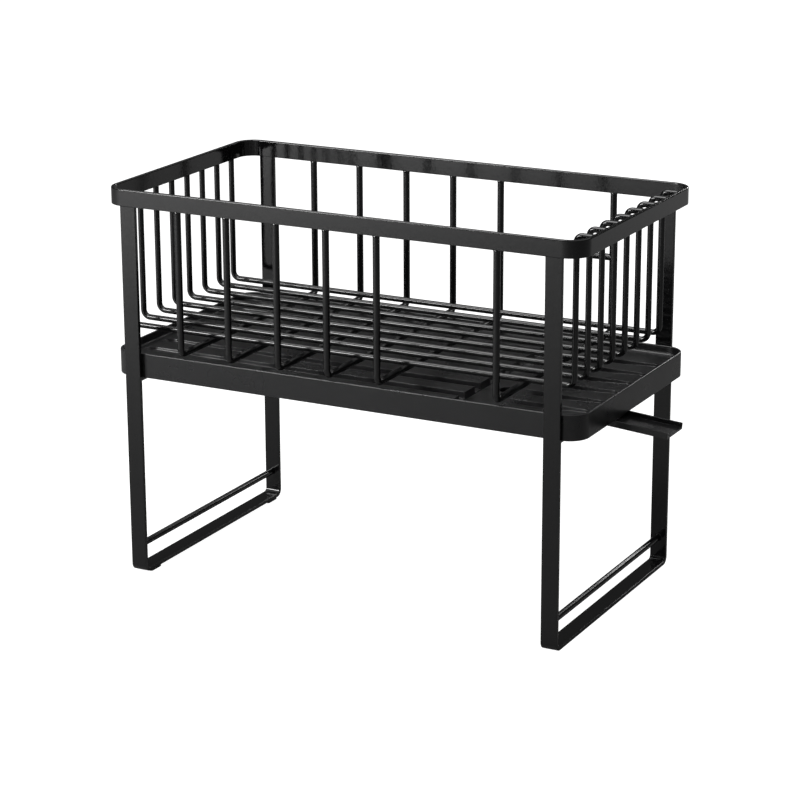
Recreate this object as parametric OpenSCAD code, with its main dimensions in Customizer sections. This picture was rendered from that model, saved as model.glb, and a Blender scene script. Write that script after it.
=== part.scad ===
// Dish drying rack: wire basket on two flat-bar leg frames, with a slide-out drip tray and drain spout.
// Millimetres, Z up, front towards -Y, drain spout towards +X, feet on Z = 0.

/* [Frame] */
// Outer length of the rim band
rim_length = 450; // [300:1:600]
// Outer depth of the rim band
rim_depth = 240; // [180:1:320]
// Height of the rim's top edge above the counter
rack_height = 350; // [280:1:420]
// Width of every flat bar
bar_width = 15; // [10:0.5:22]
// Thickness of every flat bar
bar_thickness = 3.5; // [2:0.1:5]
// Outer corner radius of the rim band
rim_corner_radius = 18.5; // [10:0.5:40]
// Rounding along the rim's top edges
rim_edge_rounding = 1.2; // [0.4:0.1:1.5]
// Distance from the middle of the rack to each leg frame
leg_offset = 200.5; // [120:0.5:230]
// Outer bend radius of the leg bars at the floor
leg_bend_radius = 7; // [5:0.5:15]

/* [Wires] */
// Diameter of the cross wires, rods, rail and tray pegs
thick_wire = 6; // [3:0.1:8]
// Diameter of the long wires
thin_wire = 5.2; // [2:0.1:7]
// Height of the cross wires' floor run below the rim top
cross_drop = 140.5; // [90:0.5:180]
// Height of the long wires' floor run below the rim top
long_drop = 128; // [80:0.5:170]
// Bend radius of the cross wires at their centreline
cross_bend = 6; // [4:0.5:15]
// Bend radius of the long wires at their centreline
long_bend = 6.5; // [4:0.5:15]
// Radius of the hook bend at the top right of each long wire
hook_bend = 5; // [4:0.5:14]
// Depth of the hooks' centreline below the rim top
hook_drop = 2.8; // [2.6:0.1:8]
// Distance from the rim's outer right face to the long wires' risers
hook_inset = 18; // [12:0.5:30]
// Spacing between neighbouring long wires
long_pitch = 25.8; // [18:0.1:35]
// Height of each lower cross rod above the underside of its leg
rod_height = 24.5; // [15:0.5:80]
// Depth of the back rail below the rim top
rail_drop = 73; // [40:1:110]

/* [Tray] */
// Length of the drip tray
tray_length = 448; // [300:1:560]
// Depth of the drip tray, front to back
tray_depth = 230; // [160:1:300]
// Height of the tray wall
tray_height = 22; // [15:0.5:35]
// Thickness of the tray wall and plate
tray_wall = 2.2; // [1.5:0.1:4]
// Corner radius of the tray
tray_corner_radius = 18; // [8:0.5:40]
// Depth of the tray's top edge below the rim top
tray_drop = 145.7; // [100:0.5:220]
// Depth of the ribbed plate below the tray's top edge
plate_drop = 7.8; // [4:0.1:12]
// Thickness of the ribbed plate
plate_thickness = 2; // [1:0.1:4]
// Thickness of the troughs below the plate
trough_skin = 1.5; // [1:0.1:3]
// Width of each drain groove
groove_width = 12; // [6:0.5:20]
// Depth of the drain grooves where they meet the cross channel
groove_depth = 5.6; // [2:0.1:8]
// Depth of the drain grooves at their far ends
groove_end_depth = 2; // [0.5:0.1:5]
// Spacing between drain grooves
groove_pitch = 30; // [20:0.5:45]
// Distance from the tray's middle to the groove ends
groove_reach = 213; // [120:0.5:215]
// Depth of the cross channel below the grooves' deep ends
channel_step = 0.8; // [0:0.1:2]
// Position of the cross channel's middle along X
channel_x = 118.5; // [60:0.5:180]
// Width of the cross channel along X
channel_width = 41; // [20:0.5:60]
// Diameter of the drain hole
drain_diameter = 16; // [8:0.5:24]
// Length of each tray peg out from its leg
peg_length = 20; // [10:0.5:40]

/* [Spout] */
// Position of the spout's and the drain hole's middle along Y
spout_y = -28; // [-60:1:60]
// Outer width of the spout
spout_width = 33; // [20:0.5:50]
// Height of the spout's side walls
spout_height = 5.5; // [4:0.1:15]
// Thickness of the spout's walls and floor
spout_wall = 1.8; // [1.2:0.1:3]
// Downward slope of the spout in degrees
spout_slope = 4.6; // [1:0.1:10]
// Reach of the spout beyond the rim
spout_reach = 45.5; // [10:0.5:120]
// Depth of the spout's mouth below the rim top
spout_drop = 171.9; // [160:0.1:200]
// Height of the spout's walls where they pass under the cross channel
low_height = 2.6; // [2:0.1:4]
// Gap between the spout and its guides
guide_gap = 0.4; // [0.2:0.1:1]
// Thickness of the guides' walls
guide_wall = 2; // [1:0.1:4]
// Reach of the guides' lips under the spout
guide_lip = 3; // [1:0.1:8]
// Distance from the cross channel to the guides
guide_start = 11; // [8:0.5:20]
// Distance from the guides to the tray's right end
guide_inset = 19; // [10:0.5:30]

/* [Feet] */
// Thickness of the rubber pads
pad_thickness = 2; // [1:0.5:5]
// Length of each rubber pad along the bar
pad_length = 16; // [8:1:40]
// Gap between the side of each pad and the edge of the bar
pad_margin = 0.5; // [0:0.1:3]
// Corner radius of the pads
pad_corner = 2; // [1:0.5:5]
// Distance from the rim's front face to the middle of the front pad
front_pad_inset = 18; // [12:0.5:60]
// Distance from the rim's back face to the middle of the back pad
back_pad_inset = 15; // [12:0.5:60]

/* [Hidden] */
$fn = 48;
overlap = 0.01;
cut = 1;
end_clearance = 2;
low_clearance = 5;
wire_count = 8;
groove_count = 6;
body_colour = [0.06, 0.06, 0.065];
plastic_colour = [0.07, 0.07, 0.075];
rubber_colour = [0.1, 0.1, 0.1];
zt = rack_height;
rod_r = thick_wire / 2;
wire_r = thin_wire / 2;
left_reach = rim_length / 2 - bar_thickness / 2 + wire_r;
right_reach = rim_length / 2 + spout_reach + spout_height * sin(spout_slope);
shift_x = (left_reach - right_reach) / 2;
wire_y = rim_depth / 2 - bar_thickness / 2;
inner_y = rim_depth / 2 - bar_thickness;
rim_under = zt - bar_width;
leg_half = bar_width / 2;
cross_x = [-151, -103, -54.5, -7, 40.5, 150];
long_x_left = -rim_length / 2 + bar_thickness / 2;
long_x_right = rim_length / 2 - hook_inset;
rim_inner_x = rim_length / 2 - bar_thickness;
hook_z = zt - hook_drop;
tray_top = zt - tray_drop;
tray_bottom = tray_top - tray_height;
plate_top = tray_top - plate_drop;
first_groove = -groove_pitch * (groove_count - 1) / 2;
first_wire = -long_pitch * (wire_count + 1) / 2;
peg_z = tray_bottom - rod_r;
channel_lo = channel_x - channel_width / 2;
channel_hi = channel_x + channel_width / 2;
channel_depth = groove_depth + channel_step;
spout_end_x = rim_length / 2 + spout_reach;
spout_start_x = channel_x - drain_diameter / 2 - end_clearance;
spout_run = (spout_end_x - spout_start_x) / cos(spout_slope);
spout_end_top = zt - spout_drop;
spout_floor_end = spout_end_top - spout_height;
low_run = channel_hi + low_clearance - spout_start_x;
guide_lo = channel_hi + guide_start;
guide_hi = tray_length / 2 - guide_inset;

// Underside of the spout at one place along the rack
function spout_floor(x) = spout_floor_end + (spout_end_x - x) * tan(spout_slope);

// Rounded rectangle centred on the origin
module slab_outline(length, depth, radius) {
    square([length - 2 * radius, depth], center = true);
    square([length, depth - 2 * radius], center = true);
    for (sx = [-1, 1])
        for (sy = [-1, 1])
            translate([sx * (length / 2 - radius), sy * (depth / 2 - radius)])
                circle(r = radius);
}

// Cross-section of the rim bar, outer face at x = 0, inner face towards -x
module rim_section() {
    r = rim_edge_rounding;
    translate([-bar_thickness, 0])
        square([bar_thickness, bar_width - r]);
    translate([-bar_thickness + r, 0])
        square([bar_thickness - 2 * r, bar_width]);
    for (x = [-r, -bar_thickness + r])
        translate([x, bar_width - r])
            circle(r = r, $fn = 40);
}

// One quarter bend of the rim, centred on its corner
module rim_corner() {
    rotate_extrude(angle = 90)
        translate([rim_corner_radius, 0])
            rim_section();
}

// One straight side of the rim, running along +y from the origin
module rim_side(run) {
    translate([0, run, 0])
        rotate([90, 0, 0])
            linear_extrude(height = run)
                rim_section();
}

// Closed flat-bar hoop that carries the basket wires
module rim_band() {
    color(body_colour)
        translate([shift_x, 0, rim_under])
            for (turn = [0, 180])
                rotate([0, 0, turn]) {
                    translate([rim_length / 2, -rim_depth / 2 + rim_corner_radius, 0])
                        rim_side(rim_depth - 2 * rim_corner_radius);
                    translate([rim_length / 2 - rim_corner_radius, rim_depth / 2 - rim_corner_radius, 0])
                        rim_corner();
                    translate([rim_length / 2 - rim_corner_radius, rim_depth / 2, 0])
                        rotate([0, 0, 90])
                            rim_side(rim_length - 2 * rim_corner_radius);
                    translate([-rim_length / 2 + rim_corner_radius, rim_depth / 2 - rim_corner_radius, 0])
                        rotate([0, 0, 90])
                            rim_corner();
                }
}

// U of flat bar in the YZ plane, its underside at z = foot
module leg_frame(foot) {
    r = leg_bend_radius;
    height = rim_under - foot;
    for (s = [0, 1])
        mirror([0, s, 0]) {
            translate([-leg_half, inner_y, foot + r])
                cube([bar_width, bar_thickness, height - r]);
            translate([0, rim_depth / 2 - r, foot + r])
                rotate([0, 90, 0])
                    rotate_extrude(angle = 90)
                        translate([r - bar_thickness, -leg_half])
                            square([bar_thickness, bar_width]);
        }
    translate([-leg_half, -rim_depth / 2 + r, foot])
        cube([bar_width, rim_depth - 2 * r, bar_thickness]);
}

module left_leg_frame() {
    color(body_colour)
        translate([shift_x - leg_offset, 0, 0])
            leg_frame(pad_thickness);
}

module right_leg_frame() {
    color(body_colour)
        translate([shift_x + leg_offset, 0, 0])
            leg_frame(0);
}

// Straight round rod along Y between two faces
module y_rod(x, z, y0, y1, radius) {
    translate([shift_x + x, y0, z])
        rotate([-90, 0, 0])
            cylinder(h = y1 - y0, r = radius);
}

module left_cross_rod() {
    color(body_colour)
        y_rod(-leg_offset, rod_height + pad_thickness, -inner_y, inner_y, rod_r);
}

module right_cross_rod() {
    color(body_colour)
        y_rod(leg_offset, rod_height, -inner_y, inner_y, rod_r);
}

// U of round wire in the YZ plane, butt-welded under the rim
module cross_wire(x) {
    floor_z = zt - cross_drop;
    b = cross_bend;
    color(body_colour)
        translate([shift_x + x, 0, 0]) {
            for (s = [0, 1])
                mirror([0, s, 0]) {
                    translate([0, wire_y, floor_z + b])
                        cylinder(h = rim_under - floor_z - b, r = rod_r);
                    translate([0, wire_y - b, floor_z + b])
                        rotate([0, 90, 0])
                            rotate_extrude(angle = 90)
                                translate([b, 0])
                                    circle(r = rod_r);
                }
            translate([0, -wire_y + b, floor_z])
                rotate([-90, 0, 0])
                    cylinder(h = 2 * (wire_y - b), r = rod_r);
        }
}

module cross_wire_1() { cross_wire(cross_x[0]); }
module cross_wire_2() { cross_wire(cross_x[1]); }
module cross_wire_3() { cross_wire(cross_x[2]); }
module cross_wire_4() { cross_wire(cross_x[3]); }
module cross_wire_5() { cross_wire(cross_x[4]); }
module cross_wire_6() { cross_wire(cross_x[5]); }

// Quarter bend of thin wire in the XZ plane, from +x round to -z
module long_bend_quarter(radius) {
    rotate([90, 0, 0])
        rotate([0, 0, -90])
            rotate_extrude(angle = 90)
                translate([radius, 0])
                    circle(r = wire_r);
}

// Wire along the rack: up to the left rim's underside, hooked outward onto the right rim's inner face
module long_wire(index) {
    y = first_wire + index * long_pitch;
    floor_z = zt - long_drop;
    b = long_bend;
    h = hook_bend;
    color(body_colour)
        translate([shift_x, y, 0]) {
            translate([long_x_left, 0, floor_z + b])
                cylinder(h = rim_under - floor_z - b, r = wire_r);
            translate([long_x_left + b, 0, floor_z + b])
                mirror([1, 0, 0])
                    long_bend_quarter(b);
            translate([long_x_left + b, 0, floor_z])
                rotate([0, 90, 0])
                    cylinder(h = long_x_right - long_x_left - 2 * b, r = wire_r);
            translate([long_x_right - b, 0, floor_z + b])
                long_bend_quarter(b);
            translate([long_x_right, 0, floor_z + b])
                cylinder(h = hook_z - h - floor_z - b, r = wire_r);
            translate([long_x_right + h, 0, hook_z - h])
                rotate([0, 180, 0])
                    mirror([0, 1, 0])
                        long_bend_quarter(h);
            translate([long_x_right + h, 0, hook_z])
                rotate([0, 90, 0])
                    cylinder(h = rim_inner_x - long_x_right - h, r = wire_r);
        }
}

module long_wire_1() { long_wire(1); }
module long_wire_2() { long_wire(2); }
module long_wire_3() { long_wire(3); }
module long_wire_4() { long_wire(4); }
module long_wire_5() { long_wire(5); }
module long_wire_6() { long_wire(6); }
module long_wire_7() { long_wire(7); }
module long_wire_8() { long_wire(8); }

// Straight rod along the back between the last two cross wires
module back_rail() {
    color(body_colour)
        difference() {
            translate([shift_x + cross_x[4], wire_y, zt - rail_drop])
                rotate([0, 90, 0])
                    cylinder(h = cross_x[5] - cross_x[4], r = rod_r);
            for (i = [4, 5])
                translate([shift_x + cross_x[i], wire_y, zt - rail_drop - thick_wire])
                    cylinder(h = 2 * thick_wire, r = rod_r);
        }
}

// Short rods welded to the legs' inner faces under the tray
module left_front_peg() {
    color(body_colour)
        y_rod(-leg_offset, peg_z, -inner_y, -inner_y + peg_length, rod_r);
}

module left_back_peg() {
    color(body_colour)
        y_rod(-leg_offset, peg_z, inner_y - peg_length, inner_y, rod_r);
}

module right_front_peg() {
    color(body_colour)
        y_rod(leg_offset, peg_z, -inner_y, -inner_y + peg_length, rod_r);
}

module right_back_peg() {
    color(body_colour)
        y_rod(leg_offset, peg_z, inner_y - peg_length, inner_y, rod_r);
}

// Side view of one sloping groove pair: shallow at the ends, full depth at the cross channel
module groove_profile(lift, extra, reach) {
    polygon([
        [-reach, lift - groove_end_depth - extra],
        [channel_lo, lift - groove_depth - extra],
        [channel_hi, lift - groove_depth - extra],
        [reach, lift - groove_end_depth - extra],
        [reach, lift + cut],
        [-reach, lift + cut]
    ]);
}

// Groove solid of one width at one place across the tray
module groove_bar(y, width, extra, reach) {
    translate([0, y + width / 2, 0])
        rotate([90, 0, 0])
            linear_extrude(height = width)
                groove_profile(plate_top, extra, reach);
}

// Side view of a strip that hangs from the plate, or of its lip, down past the spout's underside
module guide_profile(drop, lip) {
    low = [spout_floor(guide_lo) - drop, spout_floor(guide_hi) - drop];
    high = plate_top - plate_thickness + overlap;
    polygon([
        [guide_lo, low[0]],
        [guide_hi, low[1]],
        [guide_hi, lip ? low[1] + drop - guide_gap : high],
        [guide_lo, lip ? low[0] + drop - guide_gap : high]
    ]);
}

// Two hooked rails under the plate that the spout slides along
module spout_guides() {
    side = spout_width / 2 + guide_gap;
    drop = guide_gap + trough_skin;
    for (s = [0, 1])
        translate([0, spout_y, 0])
            mirror([0, s, 0]) {
                translate([0, side + guide_wall, 0])
                    rotate([90, 0, 0])
                        linear_extrude(height = guide_wall)
                            guide_profile(drop, false);
                translate([0, side + guide_wall, 0])
                    rotate([90, 0, 0])
                        linear_extrude(height = guide_wall + guide_gap + guide_lip)
                            guide_profile(drop, true);
            }
}

// Drip tray: skirted rim, ribbed plate with sloping grooves, cross channel and drain hole
module drip_tray() {
    r = tray_corner_radius;
    w = tray_wall;
    skin = trough_skin;
    color(plastic_colour)
        translate([shift_x, 0, 0])
            difference() {
                union() {
                    // wall
                    difference() {
                        translate([0, 0, tray_bottom])
                            linear_extrude(height = tray_height)
                                slab_outline(tray_length, tray_depth, r);
                        translate([0, 0, tray_bottom - cut])
                            linear_extrude(height = tray_height + 2 * cut)
                                slab_outline(tray_length - 2 * w, tray_depth - 2 * w, r - w);
                    }
                    // plate
                    translate([0, 0, plate_top - plate_thickness])
                        linear_extrude(height = plate_thickness)
                            slab_outline(tray_length - w, tray_depth - w, r - w / 2);
                    // groove troughs below the plate
                    for (i = [0:groove_count - 1])
                        groove_bar(first_groove + i * groove_pitch, groove_width + 2 * skin, skin,
                            groove_reach + skin);
                    // cross channel trough
                    translate([channel_lo - skin, -tray_depth / 2 + r, plate_top - channel_depth - skin])
                        cube([channel_width + 2 * skin, tray_depth - 2 * r, channel_depth]);
                    spout_guides();
                }
                // grooves
                for (i = [0:groove_count - 1])
                    groove_bar(first_groove + i * groove_pitch, groove_width, 0, groove_reach);
                // cross channel
                translate([channel_lo, -tray_depth / 2 + r + skin, plate_top - channel_depth])
                    cube([channel_width, tray_depth - 2 * r - 2 * skin, channel_depth + cut]);
                // drain hole
                translate([channel_x, spout_y, tray_bottom - cut])
                    cylinder(h = tray_height, r = drain_diameter / 2);
                // level the troughs' ends with the plate
                translate([-groove_reach - 2 * skin, -tray_depth / 2 + r, plate_top])
                    cube([2 * groove_reach + 4 * skin, tray_depth - 2 * r, skin]);
            }
}

// Open channel that slides under the tray and carries the water away
module drain_spout() {
    w = spout_wall;
    inner = spout_width - 2 * w;
    color(plastic_colour)
        translate([shift_x + spout_end_x, spout_y, spout_floor_end])
            rotate([0, spout_slope, 0])
                translate([-spout_run, 0, 0]) {
                    // floor
                    translate([0, -spout_width / 2, 0])
                        cube([spout_run, spout_width, w]);
                    // side walls, lower where they pass under the cross channel
                    for (s = [-1, 1])
                        translate([0, s * (inner / 2 + w / 2) - w / 2, 0]) {
                            cube([low_run, w, low_height]);
                            translate([low_run, 0, 0])
                                cube([spout_run - low_run, w, spout_height]);
                        }
                    // closed inner end
                    translate([0, -spout_width / 2, 0])
                        cube([w, spout_width, low_height]);
                }
}

// Rubber pad stuck under the left leg frame's floor bar
module pad(y) {
    color(rubber_colour)
        translate([shift_x - leg_offset, y, 0])
            linear_extrude(height = pad_thickness)
                slab_outline(bar_width - 2 * pad_margin, pad_length, pad_corner);
}

module left_front_pad() { pad(front_pad_inset - rim_depth / 2); }
module left_back_pad() { pad(rim_depth / 2 - back_pad_inset); }

rim_band();
left_leg_frame();
right_leg_frame();
left_cross_rod();
right_cross_rod();
cross_wire_1();
cross_wire_2();
cross_wire_3();
cross_wire_4();
cross_wire_5();
cross_wire_6();
long_wire_1();
long_wire_2();
long_wire_3();
long_wire_4();
long_wire_5();
long_wire_6();
long_wire_7();
long_wire_8();
back_rail();
left_front_peg();
left_back_peg();
right_front_peg();
right_back_peg();
drip_tray();
drain_spout();
left_front_pad();
left_back_pad();
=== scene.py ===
"""Dish drying rack: coated steel basket on two leg frames, with a drip tray and drain spout.

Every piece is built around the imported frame, in metres, and rides on one of its bodies.
"""

import math

import bpy
from mathutils import Matrix, Vector


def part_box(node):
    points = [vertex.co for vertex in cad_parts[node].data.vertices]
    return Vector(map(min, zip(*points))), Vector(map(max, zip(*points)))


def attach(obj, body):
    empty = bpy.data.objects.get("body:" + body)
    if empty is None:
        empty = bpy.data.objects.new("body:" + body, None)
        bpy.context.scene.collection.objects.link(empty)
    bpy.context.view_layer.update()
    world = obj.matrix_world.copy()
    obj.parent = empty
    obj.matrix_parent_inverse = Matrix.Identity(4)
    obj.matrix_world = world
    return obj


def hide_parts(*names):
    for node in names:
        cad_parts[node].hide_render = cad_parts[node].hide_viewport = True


bl_info = {
    "name": "Dish drying rack",
    "version": (1, 0, 0),
    "blender": (4, 5, 0),
    "location": "View3D > Sidebar > Rack",
    "description": "Builds a dish drying rack piece by piece around its packed frame",
    "category": "Add Mesh",
}

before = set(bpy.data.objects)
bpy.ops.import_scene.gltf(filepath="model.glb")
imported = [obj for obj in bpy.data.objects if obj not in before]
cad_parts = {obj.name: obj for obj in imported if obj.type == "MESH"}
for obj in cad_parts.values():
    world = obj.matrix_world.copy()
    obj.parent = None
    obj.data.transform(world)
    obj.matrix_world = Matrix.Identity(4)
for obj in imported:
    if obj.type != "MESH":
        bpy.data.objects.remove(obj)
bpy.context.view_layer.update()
MM = 0.001
QUARTER = math.pi / 2
CROSS_WIRES = [f"cross_wire_{n}" for n in range(1, 7)]
LONG_WIRES = [f"long_wire_{n}" for n in range(1, 9)]


def low(node):
    """Lowest corner of a frame node."""
    return Vector(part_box(node)[0])


def high(node):
    """Highest corner of a frame node."""
    return Vector(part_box(node)[1])


def middle(node):
    """Centre of a frame node's box."""
    return (low(node) + high(node)) / 2


class RackSizes(bpy.types.PropertyGroup):
    """Sizes that the frame's boxes don't give."""

    bar_thickness: bpy.props.FloatProperty(
        name="Bar thickness", description="Thickness of the flat bars", default=3.5 * MM, unit="LENGTH")
    rim_corner: bpy.props.FloatProperty(
        name="Rim corner", description="Outer corner radius of the rim", default=18.5 * MM, unit="LENGTH")
    rim_round: bpy.props.FloatProperty(
        name="Rim edge", description="Rounding of the rim's top edges", default=1.2 * MM, unit="LENGTH")
    bar_round: bpy.props.FloatProperty(
        name="Bar edge", description="Rounding of the other bar edges", default=0.45 * MM, unit="LENGTH")
    leg_bend: bpy.props.FloatProperty(
        name="Leg bend", description="Outer bend radius of the leg bars", default=7 * MM, unit="LENGTH")
    cross_bend: bpy.props.FloatProperty(
        name="Cross wire bend", description="Bend radius of the cross wires", default=6 * MM, unit="LENGTH")
    long_bend: bpy.props.FloatProperty(
        name="Long wire bend", description="Bend radius of the long wires", default=6.5 * MM, unit="LENGTH")
    hook_bend: bpy.props.FloatProperty(
        name="Hook bend", description="Bend radius of the long wires' hooks", default=5 * MM, unit="LENGTH")
    hook_inset: bpy.props.FloatProperty(
        name="Hook inset", description="From the rim's outer face to the long wires' risers",
        default=18 * MM, unit="LENGTH")
    tray_corner: bpy.props.FloatProperty(
        name="Tray corner", description="Outer corner radius of the tray", default=18 * MM, unit="LENGTH")
    tray_wall: bpy.props.FloatProperty(
        name="Tray wall", description="Thickness of the tray's wall", default=2.2 * MM, unit="LENGTH")
    plate_drop: bpy.props.FloatProperty(
        name="Plate drop", description="From the tray's lip down to its ribs",
        default=7.8 * MM, unit="LENGTH")
    groove_depth: bpy.props.FloatProperty(
        name="Groove depth", description="Depth of a groove where it meets the channel",
        default=5.6 * MM, unit="LENGTH")
    groove_width: bpy.props.FloatProperty(
        name="Groove width", description="Width of a groove where it meets the channel",
        default=12 * MM, unit="LENGTH")
    spout_slope: bpy.props.FloatProperty(
        name="Spout slope", description="Downward slope of the spout",
        default=math.radians(4.6), unit="ROTATION")
    spout_wall: bpy.props.FloatProperty(
        name="Spout wall", description="Thickness of the spout", default=1.8 * MM, unit="LENGTH")


class RackFinish(bpy.types.PropertyGroup):
    """Colours and gloss of the rack."""

    coat_colour: bpy.props.FloatVectorProperty(
        name="Coat", description="Colour of the powder coat", subtype="COLOR", size=3,
        default=(0.0028, 0.0028, 0.003))
    coat_roughness: bpy.props.FloatProperty(
        name="Coat roughness", description="Roughness of the powder coat", default=0.1, subtype="FACTOR")
    plastic_colour: bpy.props.FloatVectorProperty(
        name="Plastic", description="Colour of the tray and spout", subtype="COLOR", size=3,
        default=(0.008, 0.008, 0.0085))
    plastic_roughness: bpy.props.FloatProperty(
        name="Plastic roughness", description="Roughness of the moulded plastic",
        default=0.29, subtype="FACTOR")
    rubber_colour: bpy.props.FloatVectorProperty(
        name="Rubber", description="Colour of the pads", subtype="COLOR", size=3, default=(0.03, 0.03, 0.03))


class RackStage(bpy.types.PropertyGroup):
    """Camera, light and floor."""

    azimuth: bpy.props.FloatProperty(
        name="Azimuth", description="Camera's turn round the rack",
        default=math.radians(27.662), unit="ROTATION")
    elevation: bpy.props.FloatProperty(
        name="Elevation", description="Camera's height angle", default=math.radians(16.937), unit="ROTATION")
    roll: bpy.props.FloatProperty(
        name="Roll", description="Camera's roll", default=math.radians(-0.211), unit="ROTATION")
    distance: bpy.props.FloatProperty(
        name="Distance", description="From the camera to the point it looks at",
        default=2.3405, unit="LENGTH")
    lens: bpy.props.FloatProperty(
        name="Lens", description="Focal length in millimetres on a 36 mm sensor", default=119.53)
    aim_height: bpy.props.FloatProperty(
        name="Aim height", description="Height of the point the camera looks at",
        default=157.2 * MM, unit="LENGTH")
    floor_colour: bpy.props.FloatVectorProperty(
        name="Floor", description="Colour of the floor where light falls on it", subtype="COLOR", size=3,
        default=(0.25, 0.25, 0.25))
    floor_glow: bpy.props.FloatVectorProperty(
        name="Floor glow", description="Half the floor's own brightness", subtype="COLOR", size=3,
        default=(0.5, 0.5, 0.5))
    sky: bpy.props.FloatProperty(name="Sky", description="Strength of the light all round", default=0.06)
    dome: bpy.props.FloatProperty(name="Dome", description="Strength of the overhead light", default=1.2)
    key: bpy.props.FloatProperty(name="Key", description="Power of the softbox overhead", default=14.0)
    front_floor: bpy.props.FloatProperty(
        name="Front floor", description="Power of the softbox over the floor in front", default=80.0)
    back_floor: bpy.props.FloatProperty(
        name="Back floor", description="Power of the softbox over the floor behind", default=24.0)


def sizes():
    return bpy.context.scene.rack_sizes


def finish():
    return bpy.context.scene.rack_finish


# ---------------------------------------------------------------- modelling by hand

def let_go():
    """Leaves edit mode and selects nothing."""
    if bpy.context.object and bpy.context.object.mode != "OBJECT":
        bpy.ops.object.mode_set(mode="OBJECT")
    bpy.ops.object.select_all(action="DESELECT")


def take(piece):
    """Makes one object the only selected one."""
    let_go()
    piece.select_set(True)
    bpy.context.view_layer.objects.active = piece


def pick(piece, kind, test):
    """Selects a piece's vertices, edges or faces that pass a test, and enters edit mode on them."""
    take(piece)
    bpy.ops.object.mode_set(mode="EDIT")
    bpy.ops.mesh.select_mode(type=kind)
    bpy.ops.mesh.select_all(action="DESELECT")
    bpy.ops.object.mode_set(mode="OBJECT")
    parts = {"VERT": piece.data.vertices, "EDGE": piece.data.edges, "FACE": piece.data.polygons}[kind]
    found = 0
    for part in parts:
        part.select = test(part)
        found += part.select
    if not found:
        raise RuntimeError(f"nothing selected on {piece.name}")
    bpy.ops.object.mode_set(mode="EDIT")


def modify(piece, kind, **settings):
    """Adds a modifier, sets it and applies it."""
    take(piece)
    modifier = piece.modifiers.new(kind.lower(), kind)
    for name, value in settings.items():
        setattr(modifier, name, value)
    bpy.ops.object.modifier_apply(modifier=modifier.name)


def run(step):
    """Pulls the selected loop straight along a step."""
    bpy.ops.mesh.extrude_edges_move(TRANSFORM_OT_translate={"value": tuple(step)})


def swell(centre, factors):
    """Scales the selected loop about a point."""
    bpy.ops.transform.resize(value=tuple(factors), center_override=tuple(centre))


def bend(centre, axis, steps=10):
    """Spins the selected loop a quarter turn round a centre, right-handed about an axis."""
    bpy.ops.mesh.spin(steps=steps, angle=-QUARTER, center=tuple(centre), axis=tuple(axis))


# Rings of a weld: depth into the wire in millimetres, and the ring's size there
WELD = ((0.0, 1.26), (0.35, 1.13), (0.8, 1.05), (1.4, 1.015), (2.2, 1.0))


def weld_factors(along, size, squeeze, draw=-0.12):
    """Scale of a weld ring: spread by size, and along one axis drawn in or out by another share."""
    factors = [size, size, size]
    if squeeze is not None:
        spread = (size - 1) / (WELD[0][1] - 1)
        factors[squeeze] = 1 + draw * spread
    factors[along] = 1.0
    return Vector(factors)


def weld_start(place, heading, squeeze=None, draw=-0.12):
    """Shapes the first rings of a wire into a weld, and returns where the plain wire starts."""
    along = max(range(3), key=lambda i: abs(heading[i]))
    rings = [(depth * MM, weld_factors(along, size, squeeze, draw)) for depth, size in WELD]
    swell(place, rings[0][1])
    here = Vector(place)
    for (depth, factors), (depth_before, before) in zip(rings[1:], rings):
        step = Vector(heading) * (depth - depth_before)
        run(step)
        here += step
        swell(here, [a / b for a, b in zip(factors, before)])
    return here


def weld_end(place, heading, squeeze=None, draw=-0.12):
    """Shapes the last rings of a wire into a weld that ends at a place."""
    along = max(range(3), key=lambda i: abs(heading[i]))
    rings = [(depth * MM, weld_factors(along, size, squeeze, draw)) for depth, size in reversed(WELD)]
    here = Vector(place) - Vector(heading) * rings[0][0]
    for (depth, factors), (depth_before, before) in zip(rings[1:], rings):
        step = Vector(heading) * (depth_before - depth)
        run(step)
        here += step
        swell(here, [a / b for a, b in zip(factors, before)])


WELD_LENGTH = WELD[-1][0] * MM
# How far a weld reaches into the face it joins
SINK = 0.25 * MM


def wire_ring(place, heading, radius, sides=24):
    """Starts a round wire: an open ring that faces along its heading."""
    let_go()
    turn = Vector(heading).to_track_quat("Z", "Y").to_euler()
    bpy.ops.mesh.primitive_circle_add(
        vertices=sides, radius=radius, fill_type="NOTHING", location=tuple(place), rotation=turn,
        enter_editmode=True)


def bar_ring(place, width, thickness, rounding):
    """Starts a flat bar: an open rounded rectangle, wide along X and thin along Y."""
    let_go()
    bpy.ops.mesh.primitive_plane_add(size=1, location=tuple(place), enter_editmode=True)
    swell(place, (width, thickness, 1))
    bpy.ops.mesh.bevel(offset=rounding, segments=3, affect="VERTICES")
    bpy.ops.mesh.select_all(action="SELECT")
    bpy.ops.mesh.delete(type="ONLY_FACE")
    bpy.ops.mesh.select_all(action="SELECT")


def close_ends():
    """Caps both open ends and turns every face outwards."""
    bpy.ops.mesh.select_all(action="SELECT")
    bpy.ops.mesh.fill_holes(sides=0)
    bpy.ops.mesh.select_all(action="SELECT")
    bpy.ops.mesh.remove_doubles(threshold=0.001 * MM)
    bpy.ops.mesh.normals_make_consistent(inside=False)


def settle(name, smooth=math.radians(35)):
    """Names the piece just modelled, puts its place into its mesh and shades it."""
    bpy.ops.object.mode_set(mode="OBJECT")
    piece = bpy.context.object
    piece.name = piece.data.name = name
    take(piece)
    bpy.ops.object.transform_apply(location=True, rotation=True, scale=True)
    bpy.ops.object.shade_smooth_by_angle(angle=smooth, keep_sharp_edges=False)
    modify(piece, "WEIGHTED_NORMAL", mode="FACE_AREA", weight=100, keep_sharp=True)
    return piece


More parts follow.
